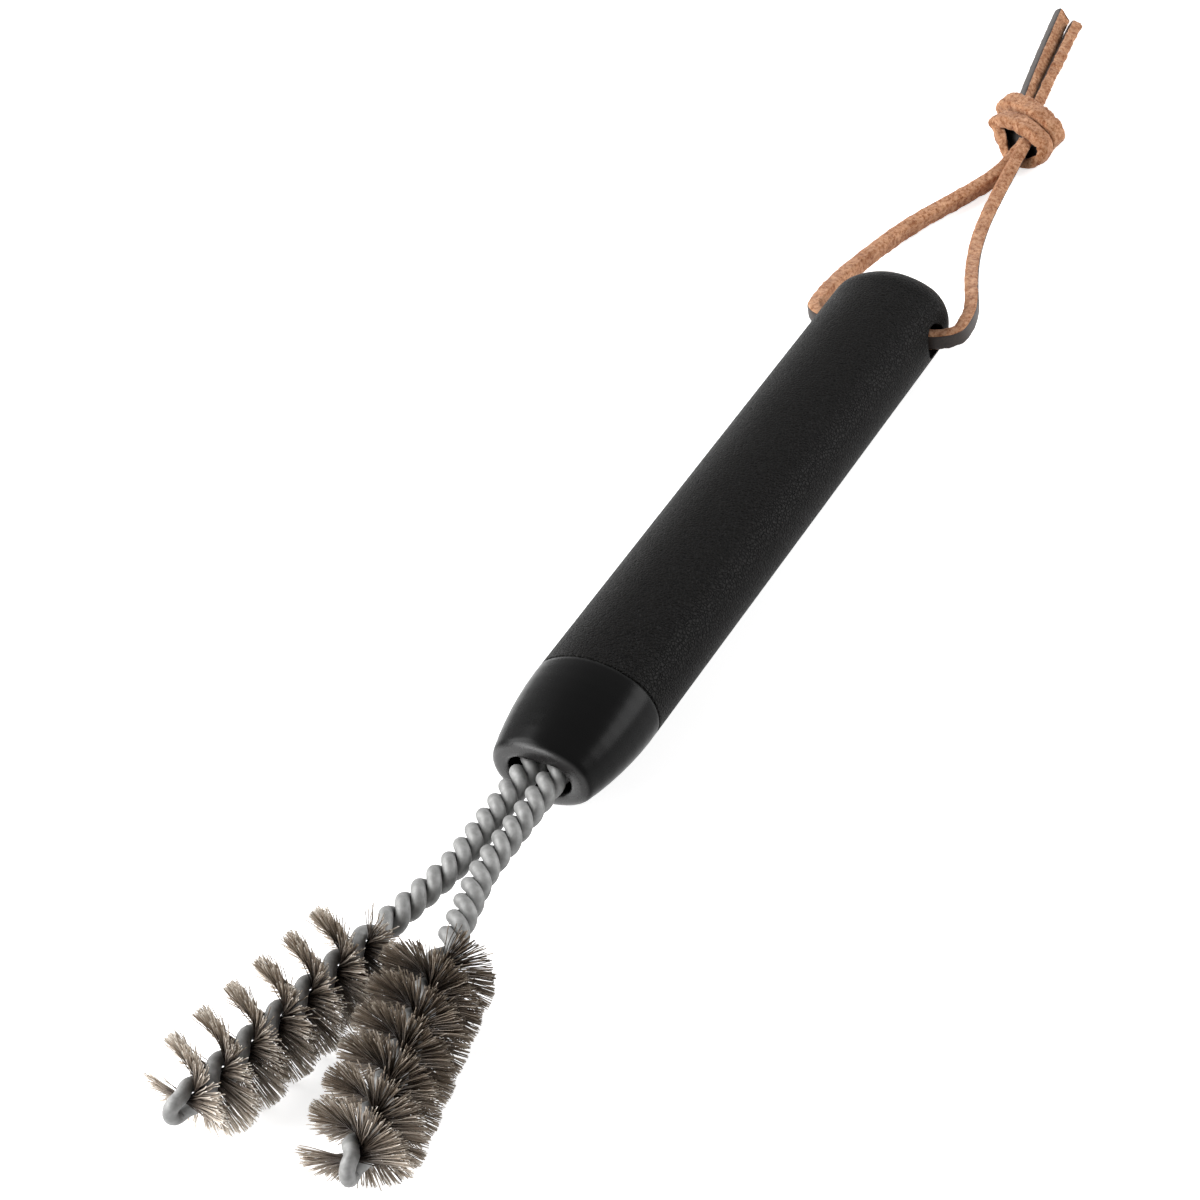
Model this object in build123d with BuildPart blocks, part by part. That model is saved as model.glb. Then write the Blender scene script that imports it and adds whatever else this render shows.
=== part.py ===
"""Grill-cleaning wire brush: an oval grip, a nose collar, two twisted wire stems that open
into a V, steel bristles pinched between their strands, and a knotted leather lace.

X runs along the handle towards the brush head, Y across the V and Z up. The brush lies on
its bristles on the plane Z = 0, and X = 0, Y = 0 is the middle of the brush without its lace.
"""

from build123d import *
from math import ceil, cos, pi, radians, sin, tan
import os

os.makedirs("parts", exist_ok=True)

# ---- driving dimensions, in millimetres and degrees ------------------------------------

overall_length = 305.0  # end of the grip to the tips of the V, without the lace
bristle_radius = 13.0

grip_length = 163.0
grip_half_width = 16.0  # along Y
grip_half_height = 12.4  # along Z
oval_flatness = 0.39  # how much tighter the oval's ends are than its half height
grip_wall = 3.6
grip_end_round = 9.5
grip_solid_end = 26.0  # the closed end that the lace hole goes through

lace_hole_radius = 4.5
lace_hole_from_end = 15.0

collar_length = 27.0
collar_straight = 3.0  # before the cone starts to close
collar_drop = 3.2  # how far it has closed where the lip starts
collar_bulge = 0.29  # share of that drop at the middle of the cone
collar_lip_length = 1.9
collar_lip_depth = 2.5
runs_per_cone = 6  # the curves of the cone and lip are turned in short straight runs
runs_per_lip = 4
mouth_width = 16.2
mouth_height = 8.6
mouth_lip = 0.5
seam_bevel = 0.35

spigot_length = 13.0
spigot_half_width = 11.6
spigot_half_height = 8.0
core_wall = 2.4
core_end_gap = 1.0  # to the closed end of the sleeve
core_bulkhead = 32.0  # the solid length behind the seam that carries the wires
core_bevel = 0.8
fit_gap = 0.15  # between the moulded pieces that slide into each other
snap_height = 0.5
snap_width = 1.6
snap_from_seam = 7.0

plug_length = 22.0
plug_width = 17.0
plug_height = 10.5
plug_flange = 2.0
plug_flange_step = 1.2  # how far the flange stands out round the plug
plug_ledge = 1.25  # the plug rests on this ledge inside its pocket
wire_room = 0.25  # round the wires where they pass through the plug

wire_radius = 1.65
bare_helix_radius = 1.76  # from a stem's middle to a strand's middle
bare_pitch = 9.75
brush_helix_radius = 2.15  # the bristles hold the strands further apart
brush_pitch = 17.0
switch_at = 78.0  # from the seam: where the fine twist turns into the coarse one
switch_length = 6.0
switch_phase = 108.0  # degrees: how the strands are turned about the stem there
stem_offset = 3.45  # from the handle's middle plane to a stem's middle
arm_angle = 12.4
arm_bend_radius = 40.0
arm_bend_at = 57.5  # from the seam
tail_depth = 24.0  # how far the wires reach back from the seam
tail_room = 2.0  # left behind their ends
twist_start = -3.0
bends_per_bare_turn = 8  # the wire is laid out in short straight runs
bends_per_brush_turn = 11
bends_per_loop = 6
wire_sides = 8
untwist_length = 4.0  # at the tip loop and at the straight tails
twist_step = 0.1  # the run over which the changing twist is added up

brush_start = 84.0  # along a stem's middle, from the seam
brush_end = 138.2
bundles_per_fan = 6
fans_per_arm = 6
bundle_waist = 0.54  # thickness where the strands pinch it
bundle_width = 1.0  # along the stem
bundle_tip_half_angle = 11.0
bristle_gap = 0.2  # between the bristles of the two arms where they meet

lace_width = 4.4  # its grain face
lace_thickness = 4.0
lace_radius = 2.15  # of the plain cord that stands for the strip
lace_sides = 8
lace_exit_radius = 4.0  # how tightly it folds round the mouths of the hole
lace_bend_share = 0.45  # how much of the shorter run beside a bend its arc may take
# where the two halves run, from the middle of the hole to the knot
lace_right_places = (
    (-137.5, 0, 12.6), (-137.5, 20.5, 12.6), (-151, 20, 12.2), (-170, 10.5, 8.7),
    (-190, 2.4, 4.9), (-212.7, -3.2, 2.4), (-238, -4.2, 5.2),
)
lace_left_places = (
    (-137.5, 0, 12.6), (-137.5, -20, 12.6), (-151, -22.5, 9.8), (-174, -24.4, 4.8),
    (-198, -20.2, 2.4), (-217, -11.4, 2.4), (-238, -8.7, 5.2),
)
knot_middle = (-244.5, -6.2)
knot_length = 23.0
knot_width = 17.5
knot_height = 12.0
knot_bevel = 3.5
tail_bend_radius = 40.0
long_tail_places = ((-253, -10), (-288.4, -19), (-311.8, -24.5))
short_tail_places = ((-253, -9), (-285.9, -13.2), (-304.6, -15.8))

# ---- derived places ---------------------------------------------------------------------

axis_height = bristle_radius
grip_end_x = -overall_length / 2
seam_x = grip_end_x + grip_length
tip_x = overall_length / 2
hole_x = grip_end_x + lace_hole_from_end
cutter_margin = 1.0  # how far a cutting shape stands out of what it cuts

bend_angle = radians(arm_angle)
bend_tangent = arm_bend_radius * tan(bend_angle / 2)
bend_start = arm_bend_at - bend_tangent
bend_end = bend_start + arm_bend_radius * bend_angle
# distance along a stem to the middle of its tip loop, whose outside ends at tip_x
loop_reach = brush_helix_radius + wire_radius
bend_end_x = bend_start + arm_bend_radius * sin(bend_angle)
loop_at = bend_end + (tip_x - seam_x - bend_end_x - wire_radius) / cos(bend_angle) - brush_helix_radius


def at_seam(offset=0.0):
    """The plane across the handle, a distance in front of the seam, with Y to its right."""
    return Plane((seam_x + offset, 0, axis_height), x_dir=(0, 1, 0), z_dir=(1, 0, 0))


def oval_line(half_width, half_height):
    """Four tangent arcs, as a draughtsman lays out an oval, drawn in the open line."""
    end_radius = half_height - oval_flatness * (half_width - half_height)
    end_centre = half_width - end_radius
    rise = half_height - end_radius
    drop = (end_centre**2 - rise**2) / (2 * rise)
    reach = (end_centre**2 + drop**2) ** 0.5
    join_y = end_centre + end_radius * end_centre / reach
    join_z = end_radius * drop / reach
    for way in (1, -1):
        ThreePointArc((join_y * way, -join_z * way), (half_width * way, 0), (join_y * way, join_z * way))
        ThreePointArc((join_y * way, join_z * way), (0, half_height * way), (-join_y * way, join_z * way))


def oval(half_width, half_height):
    """The oval as a filled sketch."""
    with BuildSketch() as filled:
        with BuildLine():
            oval_line(half_width, half_height)
        make_face()
    return filled.sketch


def finish(part, name):
    """Label a finished piece and write it."""
    part.label = name
    export_step(part, f"parts/{name}.step")


# ---- grip sleeve: an oval moulded sleeve, closed and rounded at its end ------------------

with BuildPart() as grip_sleeve:
    with BuildSketch(at_seam(-grip_length)):
        add(oval(grip_half_width, grip_half_height))
    extrude(amount=grip_length)
    fillet(grip_sleeve.faces().sort_by(Axis.X)[0].edges(), grip_end_round)
    with BuildSketch(at_seam(grip_solid_end - grip_length)):
        add(oval(grip_half_width - grip_wall, grip_half_height - grip_wall))
    extrude(amount=grip_length - grip_solid_end, mode=Mode.SUBTRACT)
    seam_edge = grip_sleeve.faces().sort_by(Axis.X)[-1].outer_wire().edges()
    chamfer(seam_edge, seam_bevel)
    with BuildSketch(Plane((hole_x, 0, axis_height), z_dir=(0, 1, 0))):
        Circle(lace_hole_radius)
    extrude(amount=grip_half_width + cutter_margin, both=True, mode=Mode.SUBTRACT)
finish(grip_sleeve.part, "grip_sleeve")

# ---- handle core: the stiff bar that the sleeve and the collar are pushed onto -----------

core_half_width = grip_half_width - grip_wall - fit_gap
core_half_height = grip_half_height - grip_wall - fit_gap
core_length = grip_length - grip_solid_end - core_end_gap

with BuildPart() as handle_core:
    with BuildSketch(at_seam(-core_length)):
        add(oval(core_half_width, core_half_height))
    extrude(amount=core_length)
    with BuildSketch(at_seam()):
        add(oval(spigot_half_width - fit_gap, spigot_half_height - fit_gap))
    extrude(amount=spigot_length - fit_gap)
    with BuildSketch(at_seam(snap_from_seam)):
        add(oval(spigot_half_width + snap_height - fit_gap, spigot_half_height + snap_height - fit_gap))
    extrude(amount=snap_width)
    with BuildSketch(at_seam(-core_length)):
        add(oval(core_half_width - core_wall, core_half_height - core_wall))
    extrude(amount=core_length - core_bulkhead, mode=Mode.SUBTRACT)
    with BuildSketch(at_seam(spigot_length - plug_length)):
        SlotOverall(plug_width, plug_height)
    extrude(amount=plug_length, mode=Mode.SUBTRACT)
    with BuildSketch(at_seam(-tail_depth - tail_room)):
        SlotOverall(plug_width - 2 * plug_ledge, plug_height - 2 * plug_ledge)
    extrude(amount=plug_length, mode=Mode.SUBTRACT)
    chamfer(handle_core.faces().sort_by(Axis.X)[0].outer_wire().edges(), core_bevel)
finish(handle_core.part, "handle_core")


# ---- stems: one wire each, folded at the tip and twisted left-handed ---------------------


def smooth(t):
    """0 before 0, 1 after 1, and smooth between."""
    t = min(1.0, max(0.0, t))
    return t * t * (3 - 2 * t)


def stem_point(s, side):
    """Middle of a stem at a distance s from the seam, and its direction in plan."""
    if s <= bend_start:
        x, y, turn = s, stem_offset, 0.0
    elif s <= bend_end:
        turn = (s - bend_start) / arm_bend_radius
        x = bend_start + arm_bend_radius * sin(turn)
        y = stem_offset + arm_bend_radius * (1 - cos(turn))
    else:
        turn = bend_angle
        run = s - bend_end
        x = bend_end_x + run * cos(turn)
        y = stem_offset + arm_bend_radius * (1 - cos(turn)) + run * sin(turn)
    return Vector(seam_x + x, side * y, axis_height), Vector(cos(turn), side * sin(turn), 0)


def widening(s):
    """0 where the stem is bare, 1 where bristles lie between its strands."""
    return smooth((s - switch_at) / switch_length + 0.5)


def twist_rate(s):
    """Turns per millimetre: none in the straight tails and at the tip loop."""
    rate = 1 / bare_pitch + widening(s) * (1 / brush_pitch - 1 / bare_pitch)
    return rate * smooth((s - twist_start) / untwist_length) * smooth((loop_at - s) / untwist_length)


def helix_radius(s):
    """The strands stand further apart where bristles lie between them."""
    return bare_helix_radius + widening(s) * (brush_helix_radius - bare_helix_radius)


def twist_angle(s):
    """How the strands are turned about the stem: the twist is left-handed."""
    steps = 1 + ceil(abs(s - switch_at) / twist_step)
    step = (s - switch_at) / steps
    turns = sum(twist_rate(switch_at + (i + 0.5) * step) * step for i in range(steps))
    return radians(switch_phase) - 2 * pi * turns


def stem_frame(s, side):
    """Middle of a stem and the directions along it and across the V."""
    middle, along = stem_point(s, side)
    return middle, along, Vector(0, 0, 1).cross(along)


def strand_point(s, turn, side):
    """Middle of a strand, which stands at the twist's angle or half a turn further."""
    middle, along, across = stem_frame(s, side)
    angle = twist_angle(s) + turn
    return middle + (across * cos(angle) + Vector(0, 0, 1) * sin(angle)) * helix_radius(s)


def strand_places():
    """Distances from the seam at which a strand is bent, a few in every turn."""
    places = [twist_start]
    while places[-1] < loop_at:
        if places[-1] < switch_at:
            run = bare_pitch / bends_per_bare_turn
        else:
            run = brush_pitch / bends_per_brush_turn
        places.append(min(loop_at, places[-1] + run))
    if places[-1] - places[-2] < brush_pitch / bends_per_brush_turn / 2:
        places.pop(-2)
    return places


def folded_wire(side):
    """One wire: a straight tail, a strand, the loop over the tip, the other strand and tail."""
    there = [strand_point(s, 0, side) for s in strand_places()]
    back = [strand_point(s, pi, side) for s in reversed(strand_places())]
    tail = Vector(tail_depth + twist_start, 0, 0)
    middle, along, _ = stem_frame(loop_at, side)
    outward, forward = there[-1] - middle, along * helix_radius(loop_at)
    loop_turns = [pi * (i + 0.5) / bends_per_loop for i in range(bends_per_loop)]
    loop_scale = 1 / cos(pi / bends_per_loop / 2)
    loop = [middle + (outward * cos(turn) + forward * sin(turn)) * loop_scale for turn in loop_turns]
    with BuildPart() as wire:
        with BuildLine() as path:
            Polyline(there[0] - tail, *there, *loop, *back, back[-1] - tail)
        with BuildSketch(Plane(there[0] - tail, z_dir=(1, 0, 0))):
            RegularPolygon(wire_radius, wire_sides)
        sweep(path=path.wire(), transition=Transition.RIGHT)
    return wire.part


left_stem = folded_wire(-1)
finish(left_stem, "left_stem")
right_stem = folded_wire(1)
finish(right_stem, "right_stem")

# ---- bristle fans: bundles of filaments pinched between the strands ----------------------

bundle_count = fans_per_arm * bundles_per_fan
bundle_step = (brush_end - brush_start) / bundle_count
bundle_tip = 2 * bristle_radius * sin(radians(bundle_tip_half_angle))
bundle_reach = bristle_radius * cos(radians(bundle_tip_half_angle))


def bristle_fan(side, first):
    """A few bundles in a row, each turned a little further about the stem."""
    half_waist, half_tip = bundle_waist / 2, bundle_tip / 2
    with BuildPart() as fan:
        for index in range(first, first + bundles_per_fan):
            s = brush_start + (index + 0.5) * bundle_step
            middle, along, across = stem_frame(s, side)
            angle = twist_angle(s) + pi / 2
            outward = across * cos(angle) + Vector(0, 0, 1) * sin(angle)
            with BuildSketch(Plane(middle, x_dir=outward, z_dir=along)):
                with BuildLine():
                    Polyline(
                        (-bundle_reach, half_tip), (0, half_waist), (bundle_reach, half_tip),
                        (bundle_reach, -half_tip), (0, -half_waist), (-bundle_reach, -half_tip),
                        close=True,
                    )
                make_face()
            extrude(amount=bundle_width / 2, both=True)
        middle_plane = Plane((0, side * bristle_gap / 2, 0), z_dir=(0, side, 0))
        split(bisect_by=middle_plane, keep=Keep.TOP)
    return fan.part


for side, arm in ((-1, "left"), (1, "right")):
    for number in range(fans_per_arm):
        fan = bristle_fan(side, number * bundles_per_fan)
        finish(fan, f"{arm}_bristle_fan_{number + 1}")

# ---- wire plug: cast round the wires where they enter the handle -------------------------

wires_width = 2 * (stem_offset + bare_helix_radius + wire_radius)
wires_height = 2 * (bare_helix_radius + wire_radius)

with BuildPart() as wire_plug:
    with BuildSketch(at_seam(spigot_length - plug_length + fit_gap)):
        SlotOverall(plug_width - 2 * fit_gap, plug_height - 2 * fit_gap)
    extrude(amount=plug_length - fit_gap)
    with BuildSketch(at_seam(spigot_length)):
        SlotOverall(plug_width + 2 * plug_flange_step, plug_height + 2 * plug_flange_step)
    extrude(amount=plug_flange)
    with BuildSketch(at_seam(spigot_length + plug_flange)):
        SlotOverall(wires_width + 2 * wire_room, wires_height + 2 * wire_room)
    extrude(amount=-plug_length - plug_flange, mode=Mode.SUBTRACT)
finish(wire_plug.part, "wire_plug")

# ---- nose collar: a glossy cone pushed onto the core's spigot, with a mouth for the wires -

cone_end = collar_length - collar_lip_length
cone_middle = (collar_straight + cone_end) / 2
lip_end = -collar_drop - collar_lip_depth

with BuildLine():
    cone = ThreePointArc(
        (collar_straight, 0), (cone_middle, -collar_drop * collar_bulge), (cone_end, -collar_drop)
    )
    lip = TangentArc(cone @ 1, (collar_length, lip_end), tangent=cone % 1)
cone_line = [cone @ (run / runs_per_cone) for run in range(runs_per_cone)]
lip_line = [lip @ (run / runs_per_lip) for run in range(runs_per_lip + 1)]

with BuildPart() as nose_collar:
    with BuildSketch(at_seam()):
        add(oval(grip_half_width, grip_half_height))
    extrude(amount=collar_length)
    with BuildLine(at_seam()) as rim:
        oval_line(grip_half_width, grip_half_height)
    with BuildSketch(Plane((seam_x, 0, axis_height + grip_half_height), x_dir=(1, 0, 0), z_dir=(0, -1, 0))):
        with BuildLine():
            beyond = collar_length + cutter_margin
            Polyline(*cone_line, *lip_line, (beyond, lip_end), (beyond, cutter_margin),
                     (collar_straight, cutter_margin), close=True)
        make_face()
    sweep(path=rim.wire(), mode=Mode.SUBTRACT, transition=Transition.ROUND)
    chamfer(nose_collar.faces().sort_by(Axis.X)[0].edges(), seam_bevel)
    with BuildSketch(at_seam()):
        add(oval(spigot_half_width, spigot_half_height))
    extrude(amount=spigot_length + plug_flange + fit_gap, mode=Mode.SUBTRACT)
    with BuildSketch(at_seam(snap_from_seam - fit_gap)):
        add(oval(spigot_half_width + snap_height, spigot_half_height + snap_height))
    extrude(amount=snap_width + 2 * fit_gap, mode=Mode.SUBTRACT)
    with BuildSketch(at_seam()):
        SlotOverall(mouth_width, mouth_height)
    extrude(amount=collar_length, mode=Mode.SUBTRACT)
    mouth_edges = nose_collar.faces().sort_by(Axis.X)[-1].inner_wires()[0].edges()
    chamfer(mouth_edges, mouth_lip)
finish(nose_collar.part, "nose_collar")

# ---- lace: a leather strip through the cross-hole, knotted, with two tails ----------------

def lace_strand(points):
    """A plain round cord along straight runs that are joined by arcs."""
    runs = [(b - a).length for a, b in zip(points, points[1:])]
    radii = []
    for index in range(1, len(points) - 1):
        before, after = points[index] - points[index - 1], points[index + 1] - points[index]
        turn = radians(before.get_angle(after))
        radii.append(lace_bend_share * min(runs[index - 1], runs[index]) / tan(turn / 2))
    radii[0] = lace_exit_radius
    print("lace runs", [round(run, 1) for run in runs], "radii", [round(r, 1) for r in radii])
    with BuildPart() as cord:
        with BuildLine() as path:
            FilletPolyline(*points, radius=radii)
        with BuildSketch(Plane(path.wire() @ 0, z_dir=path.wire() % 0)):
            section = RegularPolygon(lace_radius, lace_sides)
        sweep(path=path.wire())
    length = path.wire().length
    print("lace length", round(length, 1), "volume", round(cord.part.volume, 1),
          "section times length", round(section.area * length, 1))
    return cord.part


lace_right = lace_strand([Vector(*place) for place in lace_right_places])
finish(lace_right, "lace_right")
lace_left = lace_strand([Vector(*place) for place in lace_left_places])
finish(lace_left, "lace_left")

with BuildPart() as lace_knot:
    with BuildSketch(Plane((*knot_middle, 0), x_dir=(4, 1, 0), z_dir=(0, 0, 1))):
        SlotOverall(knot_length, knot_width)
    extrude(amount=knot_height)
    chamfer(lace_knot.edges().filter_by(Axis.Z, reverse=True), knot_bevel)
    for places in (long_tail_places, short_tail_places):
        with BuildSketch():
            with BuildLine():
                FilletPolyline(*places, radius=tail_bend_radius)
            trace(line_width=lace_thickness)
        extrude(amount=lace_width)
finish(lace_knot.part, "lace_knot")
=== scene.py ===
# %% [markdown]
# # A wire brush for grills
#
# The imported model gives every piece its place, and this script gives the pieces their looks:
# twisted wire, thousands of fine bristles, a grained grip, a glossy collar and a knotted leather
# lace. Everything is in metres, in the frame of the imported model: +X runs towards the brush head,
# +Y across the V of its two arms and +Z up from the table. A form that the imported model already
# draws well keeps its mesh and gets a material. One that it draws coarsely is made again here, in
# the same place, and stands for it.

import math

import bpy
import numpy as np
from mathutils import Matrix, Vector
from mathutils import noise as noise_field


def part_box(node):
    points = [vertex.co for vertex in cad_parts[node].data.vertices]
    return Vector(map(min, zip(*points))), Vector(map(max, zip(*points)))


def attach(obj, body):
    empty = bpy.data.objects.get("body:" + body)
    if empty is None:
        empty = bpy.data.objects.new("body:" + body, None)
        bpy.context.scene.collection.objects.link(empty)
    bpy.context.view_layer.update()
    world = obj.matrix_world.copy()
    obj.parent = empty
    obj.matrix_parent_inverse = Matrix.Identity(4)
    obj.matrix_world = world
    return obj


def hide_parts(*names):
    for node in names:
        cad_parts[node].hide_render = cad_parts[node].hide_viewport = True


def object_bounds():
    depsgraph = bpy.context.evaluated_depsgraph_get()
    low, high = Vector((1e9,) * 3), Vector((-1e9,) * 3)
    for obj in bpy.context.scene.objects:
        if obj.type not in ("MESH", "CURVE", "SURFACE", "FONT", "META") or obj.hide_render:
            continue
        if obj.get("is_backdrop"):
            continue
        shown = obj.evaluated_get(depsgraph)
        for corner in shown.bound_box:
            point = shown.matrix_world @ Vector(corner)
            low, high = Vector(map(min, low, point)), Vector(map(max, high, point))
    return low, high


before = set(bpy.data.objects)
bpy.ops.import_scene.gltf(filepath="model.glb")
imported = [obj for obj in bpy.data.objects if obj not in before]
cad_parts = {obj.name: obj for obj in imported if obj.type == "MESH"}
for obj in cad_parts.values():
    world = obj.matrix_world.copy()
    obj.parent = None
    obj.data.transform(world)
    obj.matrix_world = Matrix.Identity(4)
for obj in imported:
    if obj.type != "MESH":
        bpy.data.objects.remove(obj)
cad_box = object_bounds()
MM = 0.001
UP = np.array([0, 0, 1.0])

# %% [markdown]
# ## Colour and nodes
#
# A colour is chosen on a screen, in sRGB, but the renderer adds up light, so one function turns a
# hex colour into linear light. The materials are built from nodes and their patterns are worked out
# in space. Such a pattern needs no unwrapping and keeps its real size on every piece. One function
# adds a node of any kind, and takes its settings and what goes into its sockets.

# %% Colour


def paint(hex_colour):
    """Linear red, green, blue and alpha of an sRGB colour such as 'ab7c5b'."""
    channels = [int(hex_colour[i : i + 2], 16) / 255 for i in (0, 2, 4)]
    linear = [c / 12.92 if c <= 0.04045 else ((c + 0.055) / 1.055) ** 2.4 for c in channels]
    return (*linear, 1.0)


print("half grey, 808080, is", round(paint("808080")[0], 3), "of full light")

# %% Nodes


def new_material(name):
    """A material whose node tree is still empty."""
    material = bpy.data.materials.new(name)
    material.use_nodes = True
    material.node_tree.nodes.clear()
    return material


def add_node(owner, kind, inputs=None, stops=(), **settings):
    """A node of a material or of the world. A socket takes a plain value or another node's output.

    Only a colour ramp has stops: pairs of a position and a hex colour, from low to high.
    """
    node = owner.node_tree.nodes.new(kind)
    for name, value in settings.items():
        setattr(node, name, value)
    for socket, value in (inputs or {}).items():
        if isinstance(value, bpy.types.NodeSocket):
            owner.node_tree.links.new(value, node.inputs[socket])
        else:
            node.inputs[socket].default_value = value
    for index, (position, colour) in enumerate(stops):
        marks = node.color_ramp.elements
        mark = marks[index] if index < len(marks) else marks.new(position)
        mark.position = position
        mark.color = paint(colour)
    return node


def repeats(size_mm):
    """The scale at which a pattern's features are about size_mm apart."""
    return 1 / (size_mm * MM)


print("features 0.85 mm apart need a scale of", round(repeats(0.85)))

# %% [markdown]
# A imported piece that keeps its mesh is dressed: its plain material is swapped for a real one.

# %% Dressing


def dress(node, material):
    """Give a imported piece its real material."""
    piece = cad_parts[node]
    piece.data.materials.clear()
    piece.data.materials.append(material)
    print(node, "is dressed in", material.name)


# %% [markdown]
# ## The grip
#
# The grip is a sleeve of charcoal-black plastic. Its mould is etched with a leather grain: small
# pads with creases between them. The creases could be cut into the mesh, but pads under a
# millimetre wide would take millions of faces, so the material draws them as relief. Voronoi cells
# have straight edges, so a noise first pushes the places about, and the creases bend. To the eye,
# grain breaks the shine up, and the grip looks soft and dull beside the collar.

# %% Grained charcoal plastic
PAD_MM = 0.85
BEND_SIZE_MM, BEND_BY_MM = 1.6, 0.9  # how long the bends of a crease are, and how far they go
CREASE_MM = 0.28  # a real crease is about a tenth; this one is deeper, so that it shows
MATT_MM = 0.3  # the real matt is finer than a tenth and is drawn as coarse as it needs to show


def grained_charcoal_plastic():
    """Plastic from an etched mould: pads with painted shade that darkens the creases round them."""
    material = new_material("charcoal plastic with moulded leather grain")
    place = add_node(material, "ShaderNodeTexCoord").outputs["Object"]
    wander = add_node(
        material, "ShaderNodeTexNoise", {"Vector": place, "Scale": repeats(BEND_SIZE_MM), "Detail": 2.0}
    ).outputs["Color"]
    pushed = add_node(
        material, "ShaderNodeVectorMath", {0: wander, 1: (BEND_BY_MM * MM,) * 3, 2: place},
        operation="MULTIPLY_ADD",
    ).outputs["Vector"]
    from_edge = add_node(
        material, "ShaderNodeTexVoronoi", {"Vector": pushed, "Scale": repeats(PAD_MM)},
        feature="DISTANCE_TO_EDGE",
    ).outputs["Distance"]
    pads = add_node(
        material, "ShaderNodeMapRange", {"Value": from_edge, "From Max": 0.22},
        interpolation_type="SMOOTHSTEP",
    ).outputs["Result"]
    # The creases are painted darker than the pads: painted shade, for the plastic is one colour.
    colour = add_node(
        material, "ShaderNodeValToRGB", {"Fac": pads}, stops=((0.0, "040404"), (0.8, "121110"))
    ).outputs["Color"]
    patches = add_node(
        material, "ShaderNodeTexNoise", {"Vector": place, "Scale": repeats(7.0), "Detail": 3.0}
    ).outputs["Fac"]
    roughness = add_node(
        material, "ShaderNodeMapRange", {"Value": patches, "To Min": 0.42, "To Max": 0.52}
    ).outputs["Result"]
    matt = add_node(
        material, "ShaderNodeTexNoise", {"Vector": place, "Scale": repeats(MATT_MM), "Detail": 2}
    ).outputs["Fac"]
    matt_relief = add_node(
        material, "ShaderNodeBump", {"Height": matt, "Distance": 0.03 * MM, "Strength": 0.7}
    ).outputs["Normal"]
    relief = add_node(
        material, "ShaderNodeBump",
        {"Height": pads, "Distance": CREASE_MM * MM, "Strength": 1.0, "Normal": matt_relief},
    ).outputs["Normal"]
    # Plastic's IOR of 1.5 is kept. Its specular level, typically 0.5, is matched far lower, because
    # the white room and table are in every reflection and the grain traps a part of that light.
    surface = add_node(material, "ShaderNodeBsdfPrincipled", {
        "Base Color": colour, "Roughness": roughness, "Specular IOR Level": 0.06, "Normal": relief,
    })
    add_node(material, "ShaderNodeOutputMaterial", {"Surface": surface.outputs["BSDF"]})
    return material


dress("grip_sleeve", grained_charcoal_plastic())

# %% [markdown]
# ## The collar
#
# The collar closes the front of the handle round the two stems. It is black plastic too, but from a
# polished mould, so it shows soft-edged highlights where the grip shows none. Its wall sank a little
# as it cooled, which is a very shallow, wide noise. Its rim round the mouth is painted paler, as a
# painted highlight, and reflects more there. The imported edges are sharp, and the Bevel node rounds
# them for the light only, which costs no faces. The Mix node has number, vector and colour sockets
# side by side, so its colour sockets are called by number: 6 and 7 in, 2 out.

# %% Polished black plastic
EDGE_ROUND_MM = 1.6
WAVE_MM = 14.0
# The paler rim round the mouth is a painted highlight; these say how far back from the mouth it reaches.
RIM_HIGHLIGHT_FROM_MM, RIM_HIGHLIGHT_TO_MM = 1.3, 0.2  # how far back from the mouth


def polished_black_plastic():
    """Plastic from a polished mould, with faint waves and a painted highlight on its rim round the mouth.
    """
    material = new_material("polished black moulded plastic")
    place = add_node(material, "ShaderNodeTexCoord").outputs["Object"]
    waves = add_node(
        material, "ShaderNodeTexNoise", {"Vector": place, "Scale": repeats(WAVE_MM), "Detail": 1}
    ).outputs["Fac"]
    black = add_node(
        material, "ShaderNodeValToRGB", {"Fac": waves}, stops=((0.35, "040404"), (0.65, "080808"))
    ).outputs["Color"]
    mouth_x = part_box("nose_collar")[1].x
    along = add_node(material, "ShaderNodeSeparateXYZ", {"Vector": place}).outputs["X"]
    rim_highlight = add_node(
        material, "ShaderNodeMapRange",
        {"Value": along, "From Min": mouth_x - RIM_HIGHLIGHT_FROM_MM * MM, "From Max": mouth_x - RIM_HIGHLIGHT_TO_MM * MM},
        interpolation_type="SMOOTHSTEP",
    ).outputs["Result"]
    # The rim is painted paler: a painted highlight round the mouth.
    colour = add_node(
        material, "ShaderNodeMix", {0: rim_highlight, 6: black, 7: paint("212020")}, data_type="RGBA"
    ).outputs[2]
    # The body's specular level is matched low for the same reason; the painted rim has the usual 0.5.
    specular = add_node(
        material, "ShaderNodeMapRange", {"Value": rim_highlight, "To Min": 0.08, "To Max": 0.5}
    ).outputs["Result"]
    haze = add_node(
        material, "ShaderNodeTexNoise", {"Vector": place, "Scale": repeats(3.0), "Detail": 3.0}
    ).outputs["Fac"]
    roughness = add_node(
        material, "ShaderNodeMapRange", {"Value": haze, "To Min": 0.24, "To Max": 0.31}
    ).outputs["Result"]
    rounded = add_node(
        material, "ShaderNodeBevel", {"Radius": EDGE_ROUND_MM * MM}, samples=8
    ).outputs["Normal"]
    relief = add_node(
        material, "ShaderNodeBump",
        {"Height": waves, "Distance": 0.05 * MM, "Strength": 0.3, "Normal": rounded},
    ).outputs["Normal"]
    surface = add_node(material, "ShaderNodeBsdfPrincipled", {
        "Base Color": colour, "Roughness": roughness, "Specular IOR Level": specular, "Normal": relief,
    })
    add_node(material, "ShaderNodeOutputMaterial", {"Surface": surface.outputs["BSDF"]})
    return material


dress("nose_collar", polished_black_plastic())

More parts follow.
